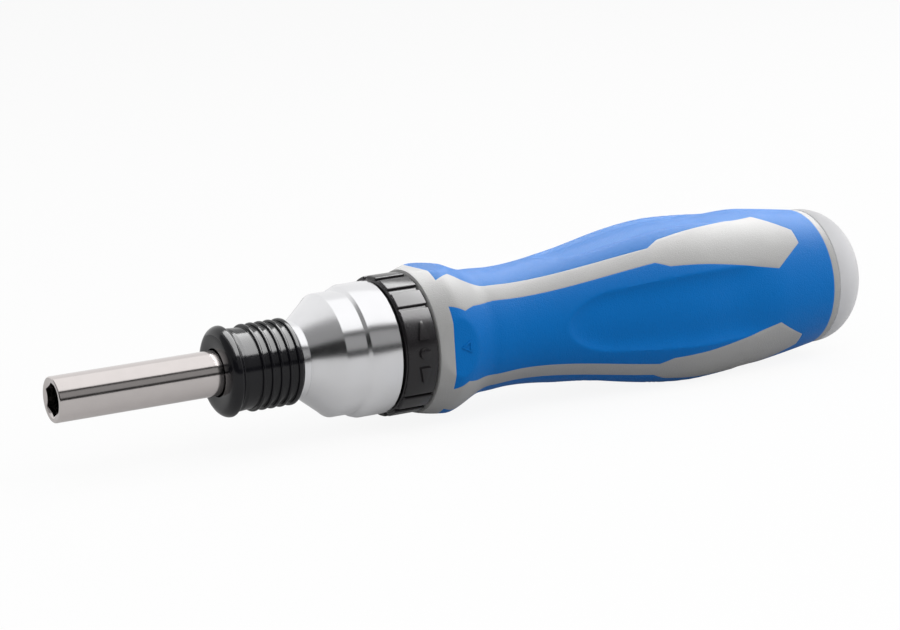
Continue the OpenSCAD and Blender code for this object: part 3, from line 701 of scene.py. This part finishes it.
class DRESS_OT_selector(bpy.types.Operator):
    """Makes the selector ring with its pads, lugs and raised direction marks"""
    bl_idname = "dress.selector"
    bl_label = "Selector ring"

    def execute(self, context):
        sizes = context.scene.dress_selector
        front = end_x("selector_ring", FRONT)
        rear = end_x("selector_ring", REAR)
        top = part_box("selector_ring")[1].y
        floor = top - sizes.pad_rise
        edge = 0.45 * MM
        profile = [(front, sizes.bore_r), (front, floor - edge), (front + edge, floor),
                   (rear - edge, floor), (rear, floor - edge), (rear, sizes.bore_r),
                   (front, sizes.bore_r)]
        parts = [turned("selector_ring_body", profile, sides=180, edge=0.12 * MM)]
        half = sizes.lug_count // 2
        raised = [(side, 0.0, sizes.pad_arc) for side in (0, math.pi)]
        raised += [(side, place * sizes.lug_pitch, sizes.lug_arc)
                   for side in (QUARTER, -QUARTER) for place in range(-half, half + 1)]
        start, stop = front + 0.15 * MM, rear - 0.1 * MM
        for side, offset, arc in raised:
            parts.append(self.raised_part(start, stop, floor - edge, top, side + offset, arc))
        marked = (front + rear) / 2 + 0.35 * MM
        for out in (1, -1):
            parts.append(self.marks(sizes, marked, top, out))
        body = join(parts)
        finish_piece(body, "black_plastic", "selector", "selector_ring", degrees=35)
        return {"FINISHED"}

    def raised_part(self, start, stop, low, top, middle, arc):
        """A pad or lug: a thin block spun about the axis over its arc, with rounded edges."""
        deselect()
        place = ((start + stop) / 2, (low + top) / 2, 0)
        bpy.ops.mesh.primitive_plane_add(size=1, location=place)
        part = bpy.context.object
        bpy.ops.transform.resize(value=(stop - start, top - low, 1))
        bpy.ops.object.transform_apply(location=True, rotation=True, scale=True)
        bpy.ops.object.mode_set(mode="EDIT")
        bpy.ops.mesh.select_all(action="SELECT")
        bpy.ops.transform.rotate(value=-(middle + arc / 2), orient_axis="X",
                                 center_override=(0, 0, 0))
        face_arc = math.radians(1.6)
        steps = max(6, round(arc / face_arc))
        bpy.ops.mesh.spin(steps=steps, angle=arc, center=(0, 0, 0), axis=(1, 0, 0))
        weld()
        bevel(part, 0.3 * MM, degrees=50)
        return part

    def marks(self, sizes, x, top, out):
        """Two direction triangles and a dot, raised over one pad and cut to its curve."""
        dot_r = sizes.dot_r
        # A triangle in a circle of one radius is 1.5 radii high and root 3 radii wide.
        stretch = (sizes.mark_w / math.sqrt(3) / dot_r, 1, sizes.mark_len / 1.5 / dot_r)
        made = []
        for way in (-1, 0, 1):
            deselect()
            centre = (x, out * top, way * sizes.mark_out)
            bpy.ops.mesh.primitive_cylinder_add(
                vertices=3 if way else 40, radius=dot_r, depth=2 * MM, location=centre,
                rotation=(-QUARTER if way < 0 else QUARTER, 0, 0))
            if way:
                bpy.ops.transform.resize(value=stretch, center_override=centre)
            bpy.ops.object.transform_apply(location=True, rotation=True, scale=True)
            made.append(bpy.context.object)
        marks = join(made)
        root, reach = 0.5 * MM, 3 * MM
        low, high = top - root, top + sizes.mark_rise
        start, stop = x - reach, x + reach
        profile = [(start, low), (start, high), (stop, high), (stop, low), (start, low)]
        cut(marks, turned("mark_room", profile, sides=180), "INTERSECT")
        bevel(marks, 0.09 * MM, degrees=40, segments=2)
        return marks


class Handle:
    """The handle's outside as a radius at a station and an angle from a panel's middle."""

    def __init__(self, sizes):
        self.s = sizes
        self.front = end_x("handle_core", FRONT)
        self.grip_front = end_x("grip", FRONT)
        self.grip_end = end_x("grip", REAR)
        self.end = end_x("handle_core", REAR)
        facet = self.front + 6.9 * MM
        patch = self.s.belly_x - 12.6 * MM
        # Stations at which a hard rib's outline turns, with its width there.
        self.rib_stops = [
            (self.front, 7 * MM), (self.grip_front, 7.2 * MM),
            (facet, 10.2 * MM), (facet + 3 * MM, 7.2 * MM),
            (facet + 7.6 * MM, 4.5 * MM), (facet + 9 * MM, 4.14 * MM),
            (patch, 4.14 * MM), (patch + 3.2 * MM, 7.6 * MM),
            (self.grip_end - 16 * MM, 15.2 * MM), (self.grip_end - 7.8 * MM, 3.8 * MM),
        ]

    def corner_r(self, x):
        """Radius over the ribs: flange, neck, belly and rear edge."""
        s = self.s
        foot = s.flange_x + s.fall
        if x < s.flange_x:
            # Half a straight slope and half a rounded one.
            risen = min(1, max(0, (x - self.front) / s.rise))
            risen = 0.5 * risen + 0.5 * math.sin(QUARTER * risen)
            return s.front_r + (s.flange_r - s.front_r) * risen
        if x < foot:
            # A smooth fall, made a little steeper next to the crest.
            fallen = (x - s.flange_x) / s.fall
            fallen = 0.9 * smooth(fallen) + 0.1 * (1 - (1 - fallen) ** 2)
            return s.flange_r + (s.foot_r - s.flange_r) * fallen
        if x < s.neck_x:
            return s.foot_r + (s.neck_r - s.foot_r) * smooth((x - foot) / (s.neck_x - foot))
        if x < s.belly_x:
            swollen = smooth((x - s.neck_x) / (s.belly_x - s.neck_x))
            return s.neck_r + (s.belly_r - s.neck_r) * swollen
        roundness = 1.5
        behind = max(0, x - s.belly_x) / (self.grip_end - s.belly_x)
        return s.belly_r + (s.rear_r - s.belly_r) * behind ** roundness

    def radius(self, x, angle):
        """Radius at an angle from the middle of the nearest panel."""
        s = self.s
        r = self.corner_r(x)
        if x < s.flange_x + s.fall:
            r = soft_min(r, s.flat_r / math.cos(angle), 0.06 * MM)
        across = abs(angle) / s.hollow_arc
        lead = max(0.0, s.hollow_front + s.hollow_round - x) / s.hollow_round
        depth = s.hollow_share * smooth((s.hollow_rear - x) / s.hollow_fade)
        steepness, lip = 5, 0.05
        sunk = 1 - math.hypot(across, lead) ** steepness
        return r * (1 - depth * (sunk + math.hypot(sunk, lip)) / 2)

    def rib_half(self, x):
        """Half of a rib's angle at a station."""
        stops = self.rib_stops
        if x <= stops[0][0]:
            width = stops[0][1]
        elif x >= stops[-1][0]:
            width = stops[-1][1]
        else:
            i = max(k for k in range(len(stops) - 1) if stops[k][0] <= x)
            (x0, w0), (x1, w1) = stops[i], stops[i + 1]
            width = w0 + (w1 - w0) * (x - x0) / (x1 - x0)
        return math.asin(width / 2 / self.corner_r(x))

    def stations(self):
        """Stations of the rows of points, evenly spaced between the outline's corners."""
        fixed = [stop for stop, _ in self.rib_stops] + [self.s.flange_x, self.grip_end, self.end]
        fixed.sort()
        pitch = (self.end - self.front) / self.s.rows
        found = [fixed[0]]
        for x0, x1 in zip(fixed, fixed[1:]):
            steps = max(1, round((x1 - x0) / pitch))
            found += [x0 + (x1 - x0) * i / steps for i in range(1, steps + 1)]
        return found


class DRESS_OT_handle(bpy.types.Operator):
    """Makes the hard core with its ribs and the soft panels let into it"""
    bl_idname = "dress.handle"
    bl_label = "Handle"

    def execute(self, context):
        sizes = context.scene.dress_handle
        shape = Handle(sizes)
        skin = self.skin(shape, sizes)
        core = self.core(skin, shape, sizes)
        grip = self.grip(skin, sizes)
        bpy.data.objects.remove(skin)
        finish_piece(core, "grey_plastic", "handle", "handle_core", degrees=35)
        finish_piece(grip, "blue_grip", "handle", "grip", degrees=35)
        return {"FINISHED"}

    def skin(self, shape, sizes):
        """The whole outside as one sheet of a grid, wrapped round the axis."""
        stations = shape.stations()
        rows = len(stations) - 1
        soft = sizes.columns
        hard = sizes.rib_columns
        columns = 4 * (soft + hard)
        deselect()
        bpy.ops.mesh.primitive_grid_add(x_subdivisions=rows, y_subdivisions=columns, size=2)
        skin = bpy.context.object
        skin.name = "handle_skin"
        for name in ("grey_plastic", "blue_grip"):
            skin.data.materials.append(bpy.data.materials[name])
        place = [(round((v.co.x + 1) / 2 * rows), round((v.co.y + 1) / 2 * columns))
                 for v in skin.data.vertices]
        for face in skin.data.polygons:
            row = min(place[i][0] for i in face.vertices)
            column = min(place[i][1] for i in face.vertices)
            middle = (stations[row] + stations[row + 1]) / 2
            rib = column % (soft + hard) >= soft
            inside = shape.grip_front < middle < shape.grip_end
            past_patch = middle > shape.rib_stops[-1][0]
            face.material_index = int(inside and (not rib or past_patch))
        for vertex, (row, column) in zip(skin.data.vertices, place):
            x = stations[row]
            half = shape.rib_half(x)
            panel, left = divmod(column, soft + hard)
            if left <= soft:
                angle = (math.pi / 4 - half) * (2 * left / soft - 1)
            else:
                angle = math.pi / 4 + half * (2 * (left - soft) / hard - 1)
            r = shape.radius(x, angle if angle <= math.pi / 4 else angle - QUARTER)
            turned_by = panel * QUARTER + angle
            vertex.co = (x, r * math.cos(turned_by), r * math.sin(turned_by))
        active(skin)
        bpy.ops.object.mode_set(mode="EDIT")
        weld()
        outward = sum(face.normal.y * face.center.y + face.normal.z * face.center.z
                      for face in skin.data.polygons)
        if outward < 0:
            raise RuntimeError("the handle's skin faces inwards")
        return skin

    def choose(self, piece, index):
        """Selects the faces of one material and opens them for editing."""
        active(piece)
        bpy.context.tool_settings.mesh_select_mode = (False, False, True)
        bpy.ops.object.mode_set(mode="EDIT")
        bpy.ops.mesh.select_all(action="DESELECT")
        bpy.ops.object.mode_set(mode="OBJECT")
        for face in piece.data.polygons:
            face.select = face.material_index == index
        bpy.ops.object.mode_set(mode="EDIT")

    def core(self, skin, shape, sizes):
        """The skin with its panels pushed in, closed by end faces round a bore."""
        core = copy_of(skin, "handle_core_shell")
        self.choose(core, 1)
        bpy.ops.mesh.extrude_region_shrink_fatten(
            TRANSFORM_OT_shrink_fatten={"value": -sizes.panel_depth})
        for station in (shape.front, shape.end):
            self.close_end(core, station, sizes.bore_r)
        bpy.ops.mesh.select_all(action="SELECT")
        bpy.ops.mesh.normals_make_consistent(inside=False)
        bpy.ops.object.mode_set(mode="OBJECT")
        bevel(core, sizes.seam, degrees=60, segments=2)
        return core

    def close_end(self, core, station, bore_r):
        """Draws an open end in to the bore and fills it."""
        bpy.context.tool_settings.mesh_select_mode = (False, True, False)
        bpy.ops.mesh.select_all(action="DESELECT")
        bpy.ops.object.mode_set(mode="OBJECT")
        mesh = core.data
        here = {v.index for v in mesh.vertices if abs(v.co.x - station) < NEAR}
        faces_at = {}
        for face in mesh.polygons:
            for key in face.edge_keys:
                faces_at[key] = faces_at.get(key, 0) + 1
        for edge in mesh.edges:
            is_open = faces_at.get(tuple(sorted(edge.vertices)), 0) == 1
            edge.select = is_open and here.issuperset(edge.vertices)
        radii = [math.hypot(*mesh.vertices[i].co.yz) for i in sorted(here)]
        bpy.ops.object.mode_set(mode="EDIT")
        bpy.ops.mesh.extrude_edges_move(TRANSFORM_OT_translate={"value": (0, 0, 0)})
        ratio = bore_r / (sum(radii) / len(radii))
        bpy.ops.transform.resize(value=(1, ratio, ratio), center_override=(station, 0, 0))
        bpy.ops.mesh.edge_face_add()

    def grip(self, skin, sizes):
        """The soft panels alone, given their thickness, with a pointer on two of them."""
        grip = copy_of(skin, "grip_panels")
        self.choose(grip, 0)
        bpy.ops.mesh.delete(type="FACE")
        bpy.ops.object.mode_set(mode="OBJECT")
        clearance = 0.1 * MM
        wall = grip.modifiers.new("Wall", "SOLIDIFY")
        wall.thickness = sizes.panel_depth - clearance
        wall.offset = -1
        bpy.ops.object.modifier_apply(modifier=wall.name)
        bevel(grip, sizes.seam, degrees=60, segments=2)
        return join([grip, self.pointer(sizes, 1), self.pointer(sizes, -1)])

    def pointer(self, sizes, side):
        """A small outlined triangle on a panel's front facet, pointing at the selector."""
        deselect()
        bpy.context.tool_settings.mesh_select_mode = (False, False, True)
        height = 0.6 * MM
        x, r = sizes.pointer_x, sizes.pointer_r
        centre = (x, side * (sizes.flat_r + sizes.pointer_rise - height / 2), 0)
        bpy.ops.mesh.primitive_cylinder_add(vertices=3, radius=r, depth=height,
                                            location=centre, rotation=(-side * QUARTER, 0, 0))
        pointer = bpy.context.object
        bpy.ops.transform.rotate(value=side * QUARTER, orient_axis="Y", center_override=centre)
        tip = min((pointer.matrix_world @ v.co).x for v in pointer.data.vertices)
        if tip > x - 0.9 * r:
            bpy.ops.transform.rotate(value=math.pi, orient_axis="Y", center_override=centre)
        bpy.ops.object.transform_apply(location=True, rotation=True, scale=True)
        for face in pointer.data.polygons:
            face.select = face.normal.y * side > 0.9
        bpy.ops.object.mode_set(mode="EDIT")
        bpy.ops.mesh.inset(thickness=0.3 * MM)
        sink = (0, -side * 1.6 * sizes.pointer_rise, 0)
        bpy.ops.mesh.extrude_region_move(TRANSFORM_OT_translate={"value": sink})
        bpy.ops.object.mode_set(mode="OBJECT")
        bevel(pointer, 0.04 * MM, degrees=40, segments=2)
        return pointer


class DRESS_OT_cap(bpy.types.Operator):
    """Makes the domed end cap with its plug and seal groove"""
    bl_idname = "dress.cap"
    bl_label = "End cap"

    def execute(self, context):
        sizes = context.scene.dress_handle
        front = end_x("end_cap", FRONT)
        rear = end_x("end_cap", REAR)
        edge = 0.25 * MM
        seam = end_x("handle_core", REAR) + 0.1 * MM
        plug_r = sizes.bore_r - 0.15 * MM
        groove_r = plug_r - 2 * MM
        r = sizes.rear_r - 0.2 * MM
        seal = end_x("cap_seal", FRONT) - 0.1 * MM
        seal_end = end_x("cap_seal", REAR) + 0.1 * MM
        profile = [(front, 0), (front, plug_r - 0.3 * MM), (front + 0.3 * MM, plug_r),
                   (seal, plug_r), (seal, groove_r), (seal_end, groove_r), (seal_end, plug_r),
                   (seam, plug_r), (seam, r - edge), (seam + edge, r)]
        profile += self.dome(seam + edge, rear, r) + [(rear, 0)]
        body = turned("end_cap_dome", profile, sides=160)
        finish_piece(body, "cap_plastic", "cap", "end_cap", degrees=35)
        return {"FINISHED"}

    def dome(self, start, rear, r, steps=26):
        """Points of the dome, which is blunter than a ball and all but closed at its end."""
        bluntness, closing = 2.15, 0.992
        points = []
        for i in range(1, steps + 1):
            part = math.sin(QUARTER * i / steps)
            drawn_in = math.sqrt(max(0.0, 1 - (part * closing) ** bluntness))
            points.append((start + part * (rear - start), r * drawn_in))
        return points


# Finishes whose pieces each sheen lamp lights, so that blacks, metals and the handle each
# mirror a lamp of their own strength.
SHEENS = {
    "metal_sheen": ("polished_steel", "satin_aluminium", "steel", "bronze", "cap_plastic"),
    "dark_sheen": ("black_aluminium", "black_plastic", "black_rubber"),
    "handle_sheen": ("grey_plastic", "blue_grip"),
}


class DRESS_OT_stage(bpy.types.Operator):
    """Makes the floor, the cards that mirrors see, the lamps, the camera and the world"""
    bl_idname = "dress.stage"
    bl_label = "Studio"

    def execute(self, context):
        self.floor(context.scene.dress_colours.floor)
        card, lamp = self.card, self.lamp
        card("dark_skirt", (0, -1.25, 0.12), size=(6, 0.27), turns=(90, 0, 0), strength=0.02)
        card("grey_wall", (0, -1.25, 0.60), size=(6, 0.70), turns=(90, 0, 0), strength=0.34)
        card("dark_gap", (0, -1.20, 1.08), size=(6, 0.30), turns=(70, 0, 0), strength=0.02)
        card("cone_card", (-0.95, -0.85, 0.28), size=(2.0, 0.60), turns=(90, 0, -48.6),
             strength=0.01)
        card("side_wall", (-1.7, 0, 0.95), size=(4, 1.9), turns=(90, 0, 90), strength=0.3)
        lamp("overhead", (0.1, -0.25, 0.95), size=(5.0, 1.5), radiance=0.28)
        lamp("front_fill", (0.0, -0.84, 0.82), size=(5.0, 1.0), radiance=0.86, turns=(46, 0, 0))
        lamp("rear_fill", (1.15, -0.25, 0.35), size=(1.0, 1.2), radiance=1.9, turns=(0, 75, 0))
        lamp("metal_sheen", (0.45, -0.16, 0.92), size=(1.7, 1.5), radiance=0.25)
        lamp("dark_sheen", (0.45, -0.16, 0.90), size=(1.7, 1.5), radiance=10.5)
        lamp("handle_sheen", (0.1, 0.52, 0.86), size=(3.0, 1.2), radiance=10.0)
        self.camera()
        self.world()
        context.scene.view_settings.view_transform = "Standard"
        return {"FINISHED"}

    def floor(self, tint):
        """A pale floor that the camera and mirrors see nearly white, with the shadow."""
        deselect()
        bpy.ops.mesh.primitive_plane_add(size=12, location=(0, 0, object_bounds()[0][2]))
        floor = bpy.context.object
        floor.name = "studio_floor"
        finish = Finish("studio_floor", Roughness=0.9, Specular_IOR_Level=0.0)
        seen = finish.seen(in_mirrors=0.2)
        unseen_share, white_share = 0.6, 0.90
        finish.tint(finish.mix(seen, darker(tint, unseen_share), tint))
        plain = Link(finish, finish.shader.outputs[0])
        both = {0: seen * white_share, 1: plain, 2: finish.glow(1.0)}
        finish.surface(finish.add("ShaderNodeMixShader", {}, both))
        floor.data.materials.append(finish.material)
        floor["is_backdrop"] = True

    def card(self, name, place, size, turns, strength):
        """A card that only mirrors see."""
        deselect()
        bpy.ops.mesh.primitive_plane_add(size=1, location=place,
                                         rotation=[math.radians(a) for a in turns])
        card = bpy.context.object
        card.name = name
        card.scale = (*size, 1)
        bpy.ops.object.transform_apply(location=True, rotation=True, scale=True)
        finish = Finish(name)
        finish.surface(finish.glow(strength))
        card.data.materials.append(finish.material)
        card.visible_camera = False
        card.visible_diffuse = False
        card.visible_shadow = False
        card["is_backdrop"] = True

    def lamp(self, name, place, size, radiance, turns=(0, 0, 0)):
        """A soft box: a sheen is only mirrored, and any other gives only diffuse light."""
        light = bpy.data.lights.new(name, "AREA")
        light.shape = "RECTANGLE"
        light.size, light.size_y = size
        light.energy = radiance * math.pi * size[0] * size[1]
        lamp = bpy.data.objects.new(name, light)
        lamp.location = place
        lamp.rotation_euler = [math.radians(a) for a in turns]
        lamp.visible_camera = False
        lamp.visible_glossy = name in SHEENS
        lamp.visible_diffuse = name not in SHEENS
        bpy.context.scene.collection.objects.link(lamp)

    def camera(self):
        """The photograph's view, fitted to the tube's taper and the outlines of the rims."""
        lens = bpy.data.cameras.new("camera")
        lens.sensor_width = 36
        lens.lens = 116
        lens.clip_start = 0.01
        camera = bpy.data.objects.new("camera", lens)
        camera.location = (-0.205743, -0.552124, 0.120383)
        camera.rotation_euler = [math.radians(a) for a in (79.506, 3.5171, -29.1684)]
        bpy.context.scene.collection.objects.link(camera)
        bpy.context.scene.camera = camera

    def world(self):
        """White where it is seen, and a plain fill for everything else."""
        world = bpy.data.worlds.new("studio")
        world.use_nodes = True
        bpy.context.scene.world = world
        nodes = Nodes(world.node_tree)
        white, fill = 1.0, 0.42
        back = nodes.tree.nodes["Background"].inputs
        nodes.fill(back["Color"], (1, 1, 1))
        nodes.fill(back["Strength"], nodes.seen(in_mirrors=1.0) * (white - fill) + fill)


class DRESS_OT_sheens(bpy.types.Operator):
    """Lets each sheen lamp light only the pieces in its finishes, once all are made"""
    bl_idname = "dress.sheens"
    bl_label = "Sheen lamps"

    def execute(self, context):
        for name, finishes in SHEENS.items():
            lit = bpy.data.collections.new(name)
            bpy.data.objects[name].light_linking.receiver_collection = lit
            for obj in bpy.data.objects:
                if (obj.type == "MESH" and obj.data.materials
                        and obj.data.materials[0].name in finishes):
                    lit.objects.link(obj)
        return {"FINISHED"}


class DRESS_PT_panel(bpy.types.Panel):
    """The screwdriver's pieces, in the order in which they are made"""
    bl_idname = "DRESS_PT_panel"
    bl_label = "Ratcheting screwdriver"
    bl_space_type = "VIEW_3D"
    bl_region_type = "UI"
    bl_category = "Screwdriver"

    def draw(self, context):
        for holder, group in GROUPS.items():
            for name in group.__annotations__:
                self.layout.prop(getattr(context.scene, holder), name)
        for step in STEPS:
            self.layout.operator(step.bl_idname)


GROUPS = {
    "dress_front": FrontSizes,
    "dress_selector": SelectorSizes,
    "dress_handle": HandleSizes,
    "dress_colours": Colours,
}
STEPS = (
    DRESS_OT_finishes, DRESS_OT_stage, DRESS_OT_bit_holder, DRESS_OT_collar, DRESS_OT_spring,
    DRESS_OT_housing, DRESS_OT_selector, DRESS_OT_handle, DRESS_OT_cap, DRESS_OT_sheens,
)
CLASSES = (*GROUPS.values(), *STEPS, DRESS_PT_panel)


def register():
    for item in CLASSES:
        bpy.utils.register_class(item)
    for name, group in GROUPS.items():
        setattr(bpy.types.Scene, name, PointerProperty(type=group))


def unregister():
    for name in GROUPS:
        delattr(bpy.types.Scene, name)
    for item in reversed(CLASSES):
        bpy.utils.unregister_class(item)


def main():
    register()
    for step in STEPS:
        group, call = step.bl_idname.split(".")
        getattr(getattr(bpy.ops, group), call)()


if __name__ == "__main__":
    main()
